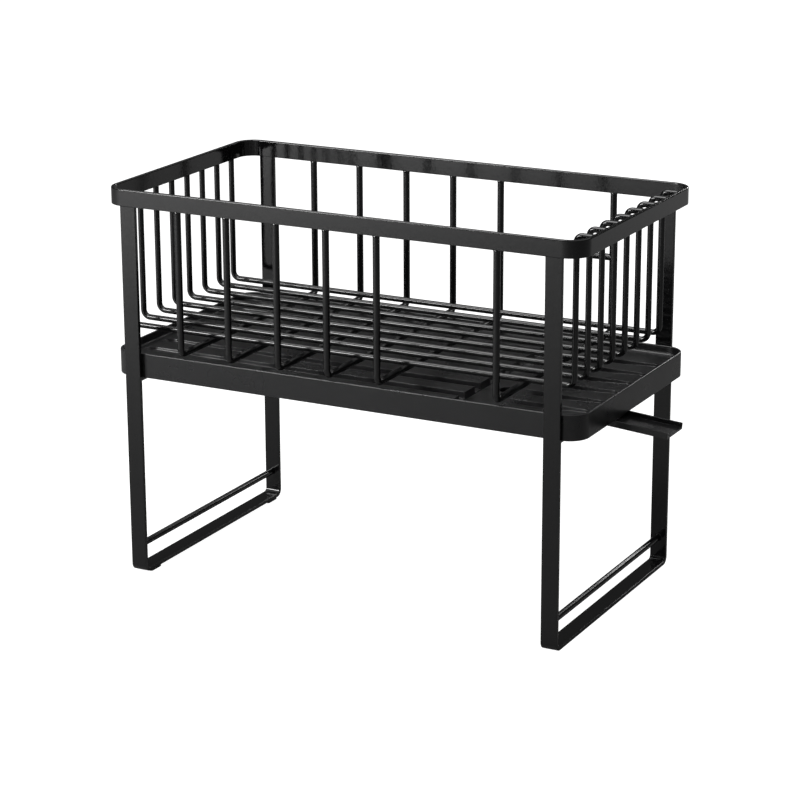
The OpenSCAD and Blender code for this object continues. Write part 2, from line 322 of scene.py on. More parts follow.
def copy_to(piece, name, shift):
    """Copies a piece with its own mesh and moves the copy's mesh."""
    take(piece)
    bpy.ops.object.duplicate()
    twin = bpy.context.object
    twin.name = twin.data.name = name
    twin.location = tuple(shift)
    bpy.ops.object.transform_apply(location=True, rotation=False, scale=False)
    return twin


def hoop(name, lowest, highest, corner, thickness, top_round, bottom_round):
    """Closed band of flat bar or wall, standing on edge round a rounded rectangle."""
    let_go()
    length, depth, height = highest - lowest
    centre = ((lowest.x + highest.x) / 2, (lowest.y + highest.y) / 2, lowest.z)
    bpy.ops.mesh.primitive_plane_add(size=1, location=centre, enter_editmode=True)
    swell(centre, (length, depth, 1))
    bpy.ops.mesh.bevel(offset=corner, segments=18, affect="VERTICES")
    bpy.ops.mesh.select_all(action="SELECT")
    bpy.ops.mesh.delete(type="ONLY_FACE")
    bpy.ops.mesh.select_all(action="SELECT")
    run((0, 0, height))
    bpy.ops.mesh.select_all(action="SELECT")
    bpy.ops.mesh.normals_make_consistent(inside=False)
    band = settle(name)
    modify(band, "SOLIDIFY", thickness=thickness, offset=-1, use_even_offset=True)
    for up, rounding, segments in ((1, top_round, 5), (-1, bottom_round, 3)):
        pick(band, "FACE", lambda face, up=up: face.normal.z * up > 0.9)
        bpy.ops.mesh.region_to_loop()
        bpy.ops.mesh.bevel(offset=rounding, segments=segments, affect="EDGES")
    bpy.ops.mesh.select_all(action="SELECT")
    bpy.ops.mesh.normals_make_consistent(inside=False)
    return settle(name)


# ---------------------------------------------------------------- finishes

def link(tree, source, target):
    tree.links.new(source, target)


def new_group(name, inputs, outputs):
    """A shader node group with named sockets."""
    group = bpy.data.node_groups.new(name, "ShaderNodeTree")
    for label, kind, value in inputs:
        socket = group.interface.new_socket(name=label, in_out="INPUT", socket_type=kind)
        socket.default_value = value
    for label, kind in outputs:
        group.interface.new_socket(name=label, in_out="OUTPUT", socket_type=kind)
    return group, group.nodes.new("NodeGroupInput"), group.nodes.new("NodeGroupOutput")


def noise(tree, vector, scale, detail=2.0, roughness=0.5):
    node = tree.nodes.new("ShaderNodeTexNoise")
    node.inputs["Scale"].default_value = scale
    node.inputs["Detail"].default_value = detail
    node.inputs["Roughness"].default_value = roughness
    link(tree, vector, node.inputs["Vector"])
    return node.outputs["Fac"]


def blend_range(tree, value, from_low, from_high, to_low, to_high):
    """Maps a value from one range to another."""
    node = tree.nodes.new("ShaderNodeMapRange")
    link(tree, value, node.inputs["Value"])
    ends = {"From Min": from_low, "From Max": from_high, "To Min": to_low, "To Max": to_high}
    for label, number in ends.items():
        node.inputs[label].default_value = number
    return node.outputs["Result"]


def maths(tree, kind, first, second):
    node = tree.nodes.new("ShaderNodeMath")
    node.operation = kind
    for socket, value in zip(node.inputs, (first, second)):
        if isinstance(value, (int, float)):
            socket.default_value = value
        else:
            link(tree, value, socket)
    return node.outputs["Value"]


# Patterns of the surface grain, and how much of each shows
WAVE_SCALE = 190.0
SPECK_SCALE = 2600.0
SPECK_START = 0.66
SPECK_FULL = 0.78
SPECK_SHARE = 0.3
CLOUD_SHARE = 0.6
RELIEF_DEPTH = 0.06 * MM


def grain_group():
    """Surface grain shared by every finish: a fine grain, slow waves, an unevenness and specks."""
    name = "Surface grain"
    if name in bpy.data.node_groups:
        return bpy.data.node_groups[name]
    group, inward, outward = new_group(
        name,
        (("Grain Scale", "NodeSocketFloat", 1200.0), ("Unevenness Scale", "NodeSocketFloat", 22.0)),
        (("Grain", "NodeSocketFloat"), ("Waves", "NodeSocketFloat"), ("Unevenness", "NodeSocketFloat"),
         ("Specks", "NodeSocketFloat")))
    place = group.nodes.new("ShaderNodeTexCoord").outputs["Object"]
    fine = group.nodes.new("ShaderNodeTexNoise")
    fine.inputs["Detail"].default_value = 2.5
    link(group, place, fine.inputs["Vector"])
    link(group, inward.outputs["Grain Scale"], fine.inputs["Scale"])
    slow = group.nodes.new("ShaderNodeTexNoise")
    slow.inputs["Detail"].default_value = 3.0
    link(group, place, slow.inputs["Vector"])
    link(group, inward.outputs["Unevenness Scale"], slow.inputs["Scale"])
    link(group, noise(group, place, WAVE_SCALE, detail=1.0), outward.inputs["Waves"])
    specks = noise(group, place, SPECK_SCALE, detail=1.0)
    link(group, fine.outputs["Fac"], outward.inputs["Grain"])
    link(group, slow.outputs["Fac"], outward.inputs["Unevenness"])
    link(group, blend_range(group, specks, SPECK_START, SPECK_FULL, 0.0, 1.0), outward.inputs["Specks"])
    return group


def finish_material(name, colour, lift, roughness, spread, fine, waves, grain_scale, **shader):
    """A coated or moulded surface: mottled colour, roughness that wanders, fine grain and slow waves."""
    material = bpy.data.materials.new(name)
    material.use_nodes = True
    tree = material.node_tree
    surface = tree.nodes["Principled BSDF"]
    grain = tree.nodes.new("ShaderNodeGroup")
    grain.node_tree = grain_group()
    grain.inputs["Grain Scale"].default_value = grain_scale
    tint = tree.nodes.new("ShaderNodeMix")
    tint.data_type = "RGBA"
    tint.inputs["A"].default_value = (*colour, 1)
    tint.inputs["B"].default_value = (*[min(1.0, part * lift) for part in colour], 1)
    specks = maths(tree, "MULTIPLY", grain.outputs["Specks"], SPECK_SHARE)
    cloud = maths(tree, "MULTIPLY", grain.outputs["Unevenness"], CLOUD_SHARE)
    link(tree, maths(tree, "ADD", specks, cloud), tint.inputs["Factor"])
    link(tree, tint.outputs["Result"], surface.inputs["Base Color"])
    wander = blend_range(tree, grain.outputs["Unevenness"], 0.3, 0.7, roughness - spread, roughness + spread)
    link(tree, wander, surface.inputs["Roughness"])
    relief = tree.nodes.new("ShaderNodeBump")
    relief.inputs["Distance"].default_value = RELIEF_DEPTH
    height = maths(tree, "ADD", maths(tree, "MULTIPLY", grain.outputs["Grain"], fine),
                   maths(tree, "MULTIPLY", grain.outputs["Waves"], waves))
    link(tree, height, relief.inputs["Height"])
    link(tree, relief.outputs["Normal"], surface.inputs["Normal"])
    for label, value in shader.items():
        surface.inputs[label.replace("_", " ")].default_value = value
    return material


def bar_coat():
    look = finish()
    return finish_material(
        "Powder coat on bar", look.coat_colour, lift=1.6, roughness=look.coat_roughness, spread=0.02,
        fine=0.05, waves=0.6, grain_scale=1500.0, Specular_IOR_Level=0.5)


def wire_coat():
    look = finish()
    return finish_material(
        "Powder coat on wire", look.coat_colour, lift=1.5, roughness=look.coat_roughness + 0.03, spread=0.02,
        fine=0.06, waves=0.3, grain_scale=1700.0, Specular_IOR_Level=0.5)


def tray_plastic():
    look = finish()
    return finish_material(
        "Moulded tray plastic", look.plastic_colour, lift=1.7, roughness=look.plastic_roughness, spread=0.03,
        fine=0.22, waves=0.3, grain_scale=1100.0, Specular_IOR_Level=0.45)


def spout_plastic():
    look = finish()
    return finish_material(
        "Moulded spout plastic", look.plastic_colour, lift=1.5, roughness=look.plastic_roughness - 0.06,
        spread=0.03, fine=0.2, waves=0.3, grain_scale=1200.0, Specular_IOR_Level=0.5)


def pad_rubber():
    return finish_material(
        "Pad rubber", finish().rubber_colour, lift=1.8, roughness=0.75, spread=0.08,
        fine=0.6, waves=0.4, grain_scale=900.0, Specular_IOR_Level=0.3)


def dress(piece, material, slot, body, *nodes):
    """Gives a piece its finish, its body and the frame nodes it stands for."""
    piece.data.materials.clear()
    piece.data.materials.append(material)
    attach(piece, body)
    if nodes:
        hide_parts(*nodes)


def once(maker, name):
    """A material by name, made the first time it is asked for."""
    return bpy.data.materials.get(name) or maker()


# ---------------------------------------------------------------- pieces of the frame

class RACK_OT_rim(bpy.types.Operator):
    """Flat-bar rim that carries the basket"""

    bl_idname = "rack.rim"
    bl_label = "Rim"

    def execute(self, context):
        size = sizes()
        rim = hoop("rim", low("rim_band"), high("rim_band"), size.rim_corner, size.bar_thickness,
                   size.rim_round, size.bar_round)
        dress(rim, once(bar_coat, "Powder coat on bar"), "coated_bar", "frame", "rim_band")
        return {"FINISHED"}


class RACK_OT_legs(bpy.types.Operator):
    """Two U-shaped flat-bar leg frames"""

    bl_idname = "rack.legs"
    bl_label = "Leg frames"

    def execute(self, context):
        size = sizes()
        for node in ("left_leg_frame", "right_leg_frame"):
            bottom, top = low(node), high(node)
            radius = size.leg_bend
            across = (bottom.x + top.x) / 2
            inset = size.bar_thickness / 2
            width = top.x - bottom.x
            bar_ring((across, bottom.y + inset, top.z), width, size.bar_thickness, size.bar_round)
            run((0, 0, -(top.z - bottom.z - radius)))
            bend((across, bottom.y + radius, bottom.z + radius), (1, 0, 0))
            run((0, top.y - bottom.y - 2 * radius, 0))
            bend((across, top.y - radius, bottom.z + radius), (1, 0, 0))
            run((0, 0, top.z - bottom.z - radius))
            close_ends()
            leg = settle(node.replace("_frame", ""))
            dress(leg, once(bar_coat, "Powder coat on bar"), "coated_bar", "frame", node)
        return {"FINISHED"}


class RACK_OT_cross_wires(bpy.types.Operator):
    """Thick wires that hang from the front rim to the back rim"""

    bl_idname = "rack.cross_wires"
    bl_label = "Cross wires"

    def execute(self, context):
        first = CROSS_WIRES[0]
        bottom, top = low(first), high(first)
        radius = (top.x - bottom.x) / 2
        x = (bottom.x + top.x) / 2
        near, far = bottom.y + radius, top.y - radius
        floor = bottom.z + radius
        turn = sizes().cross_bend
        reach = top.z + SINK
        wire_ring((x, near, reach), (0, 0, -1), radius)
        start = weld_start((x, near, reach), (0, 0, -1), squeeze=1)
        run((0, 0, floor + turn - start.z))
        bend((x, near + turn, floor + turn), (1, 0, 0))
        run((0, far - near - 2 * turn, 0))
        bend((x, far - turn, floor + turn), (1, 0, 0))
        run((0, 0, reach - WELD_LENGTH - floor - turn))
        weld_end((x, far, reach), (0, 0, 1), squeeze=1)
        close_ends()
        wire = settle("cross_wire")
        coat = once(wire_coat, "Powder coat on wire")
        for node in CROSS_WIRES:
            twin = copy_to(wire, node + "_round", (middle(node).x - x, 0, 0))
            dress(twin, coat, "coated_wire", "frame", node)
        bpy.data.objects.remove(wire)
        return {"FINISHED"}


class RACK_OT_long_wires(bpy.types.Operator):
    """Thin wires along the basket, hooked onto the right rim"""

    bl_idname = "rack.long_wires"
    bl_label = "Long wires"

    def execute(self, context):
        size = sizes()
        first = LONG_WIRES[0]
        bottom, top = low(first), high(first)
        radius = (top.y - bottom.y) / 2
        y = (bottom.y + top.y) / 2
        left = bottom.x + radius
        right = high("rim_band").x - size.hook_inset
        floor = bottom.z + radius
        turn, hook = size.long_bend, size.hook_bend
        hook_height = top.z - radius
        rim_under = low("rim_band").z + SINK
        rim_inner = high("rim_band").x - size.bar_thickness + SINK
        wire_ring((left, y, rim_under), (0, 0, -1), radius, sides=20)
        start = weld_start((left, y, rim_under), (0, 0, -1), squeeze=0)
        run((0, 0, floor + turn - start.z))
        bend((left + turn, y, floor + turn), (0, -1, 0))
        run((right - left - 2 * turn, 0, 0))
        bend((right - turn, y, floor + turn), (0, -1, 0))
        run((0, 0, hook_height - hook - floor - turn))
        bend((right + hook, y, hook_height - hook), (0, 1, 0))
        run((rim_inner - WELD_LENGTH - right - hook, 0, 0))
        weld_end((rim_inner, y, hook_height), (1, 0, 0), squeeze=2, draw=0.04)
        close_ends()
        wire = settle("long_wire")
        coat = once(wire_coat, "Powder coat on wire")
        for node in LONG_WIRES:
            twin = copy_to(wire, node + "_round", (0, middle(node).y - y, 0))
            dress(twin, coat, "coated_wire", "frame", node)
        bpy.data.objects.remove(wire)
        return {"FINISHED"}


# Rings of a rod's rounded tip: the step along the rod, and the ring's size there
TIP = ((0.0, 0.72), (0.15 * MM, 0.86), (0.25 * MM, 0.95), (0.4 * MM, 1.0))


def round_tip(here, heading, tip):
    """Steps along a rod through the rings of a rounded tip and gives the place it ends at."""
    for (step, grow), (_, before) in zip(tip[1:], tip):
        run(heading * step)
        here = here + heading * step
        swell(here, (grow / before,) * 3)
    return here


def straight_rod(name, node, axis, weld_low, weld_high, squeeze=None, draw=0.0):
    """A straight round rod between two faces, with a weld or a rounded tip at each end."""
    bottom, top = low(node), high(node)
    side = (axis + 1) % 3
    radius = (top[side] - bottom[side]) / 2
    heading = Vector([float(i == axis) for i in range(3)])
    start, end = middle(node), middle(node)
    start[axis], end[axis] = bottom[axis] - SINK * weld_low, top[axis] + SINK * weld_high
    wire_ring(start, heading, radius)
    if weld_low:
        here = weld_start(start, heading, squeeze, draw)
    else:
        swell(start, (TIP[0][1],) * 3)
        here = round_tip(start, heading, TIP)
    if weld_high:
        run(heading * ((end - here)[axis] - WELD_LENGTH))
        weld_end(end, heading, squeeze, draw)
    else:
        depth = sum(step for step, _ in TIP)
        run(heading * ((end - here)[axis] - depth))
        steps = [step for step, _ in TIP[1:]]
        grows = [grow for _, grow in TIP]
        round_tip(end - heading * depth, heading,
                  list(zip([0.0] + steps[::-1], grows[::-1])))
    close_ends()
    return settle(name)


class RACK_OT_rods(bpy.types.Operator):
    """Leg rods, back rail and the pegs that carry the tray"""

    bl_idname = "rack.rods"
    bl_label = "Rods and pegs"

    def execute(self, context):
        coat = once(wire_coat, "Powder coat on wire")
        for side in ("left", "right"):
            node = side + "_cross_rod"
            dress(straight_rod(node + "_round", node, 1, True, True), coat, "coated_wire", "frame", node)
            for end in ("front", "back"):
                node = f"{side}_{end}_peg"
                peg = straight_rod(node + "_round", node, 1, end == "front", end == "back")
                dress(peg, coat, "coated_wire", "frame", node)
        rail = straight_rod("back_rail_round", "back_rail", 0, True, True, squeeze=1)
        dress(rail, coat, "coated_wire", "frame", "back_rail")
        return {"FINISHED"}


PAD_CORNER = 2 * MM
PAD_FOOT_ROUND = 0.6 * MM


class RACK_OT_pads(bpy.types.Operator):
    """Rubber pads under the left floor bar"""

    bl_idname = "rack.pads"
    bl_label = "Pads"

    def execute(self, context):
        rubber = once(pad_rubber, "Pad rubber")
        for node in ("left_front_pad", "left_back_pad"):
            bottom, top = low(node), high(node)
            centre = ((bottom.x + top.x) / 2, (bottom.y + top.y) / 2, bottom.z)
            let_go()
            bpy.ops.mesh.primitive_plane_add(size=1, location=centre, enter_editmode=True)
            swell(centre, (top.x - bottom.x, top.y - bottom.y, 1))
            bpy.ops.mesh.bevel(offset=PAD_CORNER, segments=6, affect="VERTICES")
            bpy.ops.mesh.select_all(action="SELECT")
            bpy.ops.mesh.extrude_region_move(TRANSFORM_OT_translate={"value": (0, 0, top.z - bottom.z)})
            bpy.ops.mesh.select_all(action="SELECT")
            bpy.ops.mesh.normals_make_consistent(inside=False)
            pad = settle(node + "_soft")
            pick(pad, "FACE", lambda face: face.normal.z < -0.9)
            bpy.ops.mesh.region_to_loop()
            bpy.ops.mesh.bevel(offset=PAD_FOOT_ROUND, segments=3, affect="EDGES")
            pad = settle(node + "_soft")
            dress(pad, rubber, "pad_rubber", "frame", node)
        return {"FINISHED"}


# ---------------------------------------------------------------- tray and spout

TRAY_HEIGHT = 22 * MM
TRAY_LIP_ROUND = 0.9 * MM
TRAY_FOOT_ROUND = 0.5 * MM
GROOVES = 6
GROOVE_PITCH = 30 * MM
GROOVE_START = 213 * MM
CHANNEL_MIDDLE = 118.5 * MM
CHANNEL_HALF = 20.5 * MM
CHANNEL_REACH = 95.5 * MM
CHANNEL_EXTRA = 0.8 * MM
PLATE_THICKNESS = 1.8 * MM
WALL_FILLET = 2.4 * MM
GROOVE_DRAFT = 0.13
GROOVE_END_SHARE = 0.36
GROOVE_CLOSE = 1.2 * MM
GROOVE_TIP = 2.4 * MM
# Grid lines down a groove's side, as shares of its half width, and before its end, in millimetres
GROOVE_SIDE = (1.0, 0.985, 0.965, 0.935, 0.905, 0.885, 0.87)
GROOVE_END_STEPS = (6.0, 4.0, 2.6, 1.7, 1.2, 0.8, 0.4, 0.0)
CHANNEL_DRAFT = 0.45 * MM
CHANNEL_END_DRAFT = 4 * MM
# Grid lines down a side of the channel, as shares of its draft
CHANNEL_SIDE = (-1.0, -0.8, -0.55, -0.2, 0.2, 0.55, 0.8, 1.0)
DRAIN_RADIUS = 8 * MM
DRAIN_CUT = 20 * MM
GUIDE_WALL = 2 * MM
GUIDE_GAP = 0.4 * MM
GUIDE_LIP = 3 * MM
GUIDE_LIP_THICKNESS = 1.5 * MM
GUIDE_ROUND = 0.25 * MM
GUIDE_TOP_DROP = 3.2 * MM
GUIDE_START = 12.5 * MM
GUIDE_END = 205 * MM
SPOUT_HEIGHT = 5.5 * MM
SPOUT_LOW_HEIGHT = 2.6 * MM
SPOUT_LOW_RUN = 37 * MM
SPOUT_RAMP = 3 * MM
SPOUT_FILLET = 1.8 * MM
SPOUT_ROUND = 0.3 * MM
SNAP = 0.05 * MM


def ease(value):
    """Smooth step from 0 to 1."""
    value = min(1.0, max(0.0, value))
    return value * value * (3 - 2 * value)


def spaced(start, end, count):
    """Evenly spaced places from start to end, without the end."""
    return [start + (end - start) * i / count for i in range(count)]


def mirrored(positive):
    """The same places on both sides of zero."""
    return [-place for place in reversed(positive) if place > 0] + list(positive)


def edge_lines(start, end):
    """Lines of the outer zone: even at first, then close together through the wall's fillet."""
    fillet_start = end - WALL_FILLET
    fillet = [end - WALL_FILLET * (1 - math.sin(QUARTER * i / 6)) for i in range(1, 7)]
    return spaced(start, fillet_start, 5) + [fillet_start] + fillet + [end + 1.2 * MM]


class TrayShape:
    """Heights and places on the tray's ribbed plate, measured from the tray's own centre."""

    def __init__(self, length, depth, size):
        self.wall = size.tray_wall
        self.corner = size.tray_corner - self.wall
        self.half_x = length / 2 - self.wall
        self.half_y = depth / 2 - self.wall
        self.zone_x = self.half_x - self.corner
        self.zone_y = self.half_y - self.corner
        self.depth = size.groove_depth
        self.half_groove = size.groove_width / 2

    def share(self, x):
        """Share of a groove's full depth at one place along the tray."""
        low_end, high_end = CHANNEL_MIDDLE - CHANNEL_HALF, CHANNEL_MIDDLE + CHANNEL_HALF
        slope = 1.0
        if x < low_end:
            slope = max(0.0, (x + GROOVE_START) / (low_end + GROOVE_START))
        if x > high_end:
            slope = max(0.0, (GROOVE_START - x) / (GROOVE_START - high_end))
        closed = ease((GROOVE_START - abs(x)) / GROOVE_CLOSE)
        return (GROOVE_END_SHARE + (1 - GROOVE_END_SHARE) * slope) * closed

    def half_width(self, x):
        """Half the width of a groove at one place along the tray, drawn in at its rounded ends."""
        inward = min(1.0, max(0.0, 1 - (GROOVE_START - abs(x)) / self.half_groove))
        return max(GROOVE_TIP, self.half_groove * math.sqrt(1 - inward * inward))

    def along(self):
        """Grid lines across the tray, by their place along it."""
        wall = [CHANNEL_DRAFT * step for step in CHANNEL_SIDE]
        closing = [GROOVE_START - step * MM for step in GROOVE_END_STEPS]
        middle_lines = [-x for x in reversed(closing)] + spaced(-GROOVE_START + 12 * MM, 94 * MM, 13)
        channel_lo = CHANNEL_MIDDLE - CHANNEL_HALF
        channel_hi = CHANNEL_MIDDLE + CHANNEL_HALF
        into = [channel_lo + step for step in wall]
        out = [channel_hi + step for step in wall]
        floor = spaced(channel_lo + 2 * MM, channel_hi - 2 * MM, 4)
        short = spaced(channel_hi + 3 * MM, GROOVE_START - 10 * MM, 5) + closing
        ends = edge_lines(self.zone_x, self.half_x)
        inner = sorted(middle_lines + into + floor + out + short)
        inner = [x for x in inner if abs(x) < self.zone_x - 0.1 * MM]
        return [-x for x in reversed(ends)] + inner + ends

    def across(self):
        """Grid lines along the tray: (groove centre, share of half width, fixed place)."""
        lines = []
        for number in range(GROOVES):
            centre = (number - (GROOVES - 1) / 2) * GROOVE_PITCH
            lines += [(centre, -share) for share in GROOVE_SIDE] + [(centre, 0.0)]
            lines += [(centre, share) for share in reversed(GROOVE_SIDE)]
            if number < GROOVES - 1:
                lines += [(centre + GROOVE_PITCH / 2, None)]
        outer = [self.half_groove + (GROOVES - 1) / 2 * GROOVE_PITCH + 2.5 * MM]
        ends = edge_lines(self.zone_y, self.half_y)
        right = [(y, None) for y in outer + ends]
        left = [(-y, None) for y in reversed(outer + ends)]
        return left + lines + right

    def place_y(self, x, line):
        centre, share = line
        return centre if share is None else centre + share * self.half_width(x)

    def height(self, x, y):
        """Height above the ribs: down into grooves and channel."""
        number = round(y / GROOVE_PITCH + (GROOVES - 1) / 2)
        number = min(GROOVES - 1, max(0, number))
        off = abs(y - (number - (GROOVES - 1) / 2) * GROOVE_PITCH)
        groove = self.depth * self.share(x) * ease((1 - off / self.half_width(x)) / GROOVE_DRAFT)
        inside_x = ease((CHANNEL_HALF + CHANNEL_DRAFT - abs(x - CHANNEL_MIDDLE)) / (2 * CHANNEL_DRAFT))
        inside_y = ease((CHANNEL_REACH - abs(y)) / CHANNEL_END_DRAFT)
        channel = (self.depth + CHANNEL_EXTRA) * inside_x * inside_y
        return -max(groove, channel)

    def rounded(self, x, y):
        """Moves a square corner's point onto the tray's rounded corner, and gives its gap from the wall."""
        over_x, over_y = abs(x) - self.zone_x, abs(y) - self.zone_y
        gap = min(self.half_x - abs(x), self.half_y - abs(y))
        if over_x > 0 and over_y > 0:
            ring, slant = max(over_x, over_y), math.hypot(over_x, over_y)
            x = math.copysign(self.zone_x + ring * over_x / slant, x)
            y = math.copysign(self.zone_y + ring * over_y / slant, y)
        return x, y, gap

    def fillet(self, gap):
        """Rise of the plate where it turns up into the wall."""
        inward = min(1.0, max(0.0, 1 - gap / WALL_FILLET))
        return WALL_FILLET * (1 - math.sqrt(max(0.0, 1 - inward * inward)))


def ribbed_plate(shape, centre, top):
    """The plate with its ribs, grooves, channel and the fillet up to the wall."""
    along, across = shape.along(), shape.across()
    let_go()
    bpy.ops.mesh.primitive_grid_add(x_subdivisions=len(along) - 1, y_subdivisions=len(across) - 1, size=1)
    plate = bpy.context.object
    corners = [(round(vertex.co.y, 5), round(vertex.co.x, 5)) for vertex in plate.data.vertices]
    order = sorted(range(len(corners)), key=lambda i: corners[i])
    for rank, index in enumerate(order):
        row, column = divmod(rank, len(along))
        x = along[column]
        y = shape.place_y(x, across[row])
        height = shape.height(x, y)
        x, y, gap = shape.rounded(x, y)
        plate.data.vertices[index].co = (centre.x + x, centre.y + y, top + height + shape.fillet(gap))
    modify(plate, "SOLIDIFY", thickness=PLATE_THICKNESS, offset=-1)
    return plate


def cut_drain(plate, x, y, z):
    """Bores the drain hole through the channel's floor."""
    let_go()
    bpy.ops.mesh.primitive_cylinder_add(vertices=48, radius=DRAIN_RADIUS, depth=DRAIN_CUT, location=(x, y, z))
    drill = bpy.context.object
    modify(plate, "BOOLEAN", operation="DIFFERENCE", object=drill, solver="EXACT")
    bpy.data.objects.remove(drill)


def guide_rail(name, side, spout, plate_under):
    """One hooked rail under the plate: a web beside the spout and a lip under it."""
    start, end = spout["guide_lo"], spout["guide_hi"]
    inner = spout["half_width"] + GUIDE_GAP
    outer = inner + GUIDE_WALL
    faces = ((inner, outer, None), (inner - GUIDE_GAP - GUIDE_LIP, outer, GUIDE_GAP))
    made = []
    for near, far, cover in faces:
        let_go()
        bpy.ops.mesh.primitive_cube_add(size=1)
        part = bpy.context.object
        for vertex in part.data.vertices:
            x = end if vertex.co.x > 0 else start
            y = far if vertex.co.y > 0 else near
            under = spout["floor"](x)
            z = under - GUIDE_GAP - GUIDE_LIP_THICKNESS
            if vertex.co.z > 0:
                z = plate_under if cover is None else under - cover
            vertex.co = (x, spout["y"] + side * y, z)
        pick(part, "EDGE", lambda edge: True)
        bpy.ops.mesh.normals_make_consistent(inside=False)
        bpy.ops.mesh.bevel(offset=GUIDE_ROUND, segments=2, affect="EDGES")
        made.append(settle(name))
    return made


def spout_facts():
    """Place and slope of the spout, from its box."""
    size = sizes()
    bottom, top = low("drain_spout"), high("drain_spout")
    slope = math.tan(size.spout_slope)
    end_x = top.x - SPOUT_HEIGHT * math.sin(size.spout_slope)
    tray_x = middle("drip_tray").x
    return {
        "y": (bottom.y + top.y) / 2,
        "half_width": (top.y - bottom.y) / 2,
        "end_x": end_x,
        "end_z": bottom.z,
        "start_x": bottom.x,
        "floor": lambda x: bottom.z + (end_x - x) * slope,
        "guide_lo": tray_x + CHANNEL_MIDDLE + CHANNEL_HALF + GUIDE_START,
        "guide_hi": tray_x + GUIDE_END,
    }


class RACK_OT_tray(bpy.types.Operator):
    """Drip tray with its ribbed plate and skirted wall"""

    bl_idname = "rack.tray"
    bl_label = "Drip tray"

    def execute(self, context):
        size = sizes()
        bottom, top = low("drip_tray"), high("drip_tray")
        bottom.z = top.z - TRAY_HEIGHT
        centre = (bottom + top) / 2
        wall = hoop("tray_wall", bottom, top, size.tray_corner, size.tray_wall,
                    TRAY_LIP_ROUND, TRAY_FOOT_ROUND)
        shape = TrayShape(top.x - bottom.x, top.y - bottom.y, size)
        plate_top = top.z - size.plate_drop
        plate = ribbed_plate(shape, centre, plate_top)
        spout = spout_facts()
        cut_drain(plate, centre.x + CHANNEL_MIDDLE, spout["y"], plate_top - size.groove_depth)
        modify(wall, "BOOLEAN", operation="UNION", object=plate, solver="EXACT")
        bpy.data.objects.remove(plate)
        parts = [wall]
        for side in (-1, 1):
            parts += guide_rail("guide", side, spout, plate_top - GUIDE_TOP_DROP)
        let_go()
        for part in parts:
            part.select_set(True)
        bpy.context.view_layer.objects.active = wall
        bpy.ops.object.join()
        tray = settle("drip_tray_moulding")
        dress(tray, once(tray_plastic, "Moulded tray plastic"), "tray_plastic", "tray", "drip_tray")
        return {"FINISHED"}


class RACK_OT_spout(bpy.types.Operator):
    """Open drain spout under the tray"""

    bl_idname = "rack.spout"
    bl_label = "Drain spout"

    def execute(self, context):
        size = sizes()
        facts = spout_facts()
        length = (facts["end_x"] - facts["start_x"]) / math.cos(size.spout_slope)
        half = facts["half_width"]
        low_end = SPOUT_LOW_RUN - length
        high_start = low_end + SPOUT_RAMP
        let_go()
        bpy.ops.mesh.primitive_cube_add(size=1, location=(0, 0, 0))
        spout = bpy.context.object
        for vertex in spout.data.vertices:
            vertex.co = (0 if vertex.co.x > 0 else -length, math.copysign(half, vertex.co.y),
                         SPOUT_HEIGHT if vertex.co.z > 0 else 0)
        pick(spout, "FACE", lambda face: face.normal.z > 0.9 or face.normal.x > 0.9)
        bpy.ops.mesh.delete(type="FACE")
        for cut in (low_end, high_start):
            bpy.ops.mesh.select_all(action="SELECT")
            bpy.ops.mesh.bisect(plane_co=(cut, 0, 0), plane_no=(1, 0, 0))
        settle("spout")
        for vertex in spout.data.vertices:
            if vertex.co.z > SPOUT_HEIGHT / 2 and vertex.co.x < low_end + SNAP:
                vertex.co.z = SPOUT_LOW_HEIGHT
        modify(spout, "SOLIDIFY", thickness=size.spout_wall, offset=-1, use_even_offset=True)
        inside = half - size.spout_wall
        places = [vertex.co.copy() for vertex in spout.data.vertices]
        pick(spout, "EDGE", lambda edge: all(
            abs(places[i].z - size.spout_wall) < SNAP and abs(abs(places[i].y) - inside) < SNAP
            and places[i].x > high_start - SNAP for i in edge.vertices))
        bpy.ops.mesh.bevel(offset=SPOUT_FILLET, segments=5, affect="EDGES")
        take(spout)
        modify(spout, "BEVEL", width=SPOUT_ROUND, segments=3, limit_method="ANGLE",
               angle_limit=math.radians(40))
        place = Matrix.Translation((facts["end_x"], facts["y"], facts["end_z"]))
        spout.data.transform(place @ Matrix.Rotation(size.spout_slope, 4, "Y"))
        take(spout)
        spout = settle("spout_channel")
        dress(spout, once(spout_plastic, "Moulded spout plastic"), "spout_plastic", "spout", "drain_spout")
        return {"FINISHED"}


# ---------------------------------------------------------------- stage

def soft_box(name, place, aim, width, height, power):
    """A large soft area light that faces a point."""
    let_go()
    bpy.ops.object.light_add(type="AREA", location=tuple(place))
    lamp = bpy.context.object
    lamp.name = name
    lamp.data.shape = "RECTANGLE"
    lamp.data.size = width
    lamp.data.size_y = height
    lamp.data.energy = power
    lamp.rotation_euler = (Vector(aim) - Vector(place)).to_track_quat("-Z", "Y").to_euler()
    return lamp


SENSOR_WIDTH = 36
FLOOR_SIZE = 12
FLOOR_ROUGHNESS = 0.9
FLOOR_SPECULAR = 0.1
DOME_HEIGHT = 2.4
DOME_ANGLE = math.radians(120)
TOP_LAMP = (-0.5, -0.3, 1.7)
TOP_LAMP_WIDTH = 1.0
TOP_LAMP_HEIGHT = 0.8
# Softboxes that face straight down: they light the floor, and the gloss mirrors it
FLOOR_LAMP_SIZE = 0.9
FLOOR_LAMP_HEIGHT = 1.0
FRONT_LAMP = (-1.2, -1.6)
BACK_LAMP = (0.2, 2.2)
FLOOR_STRENGTH = 2.0


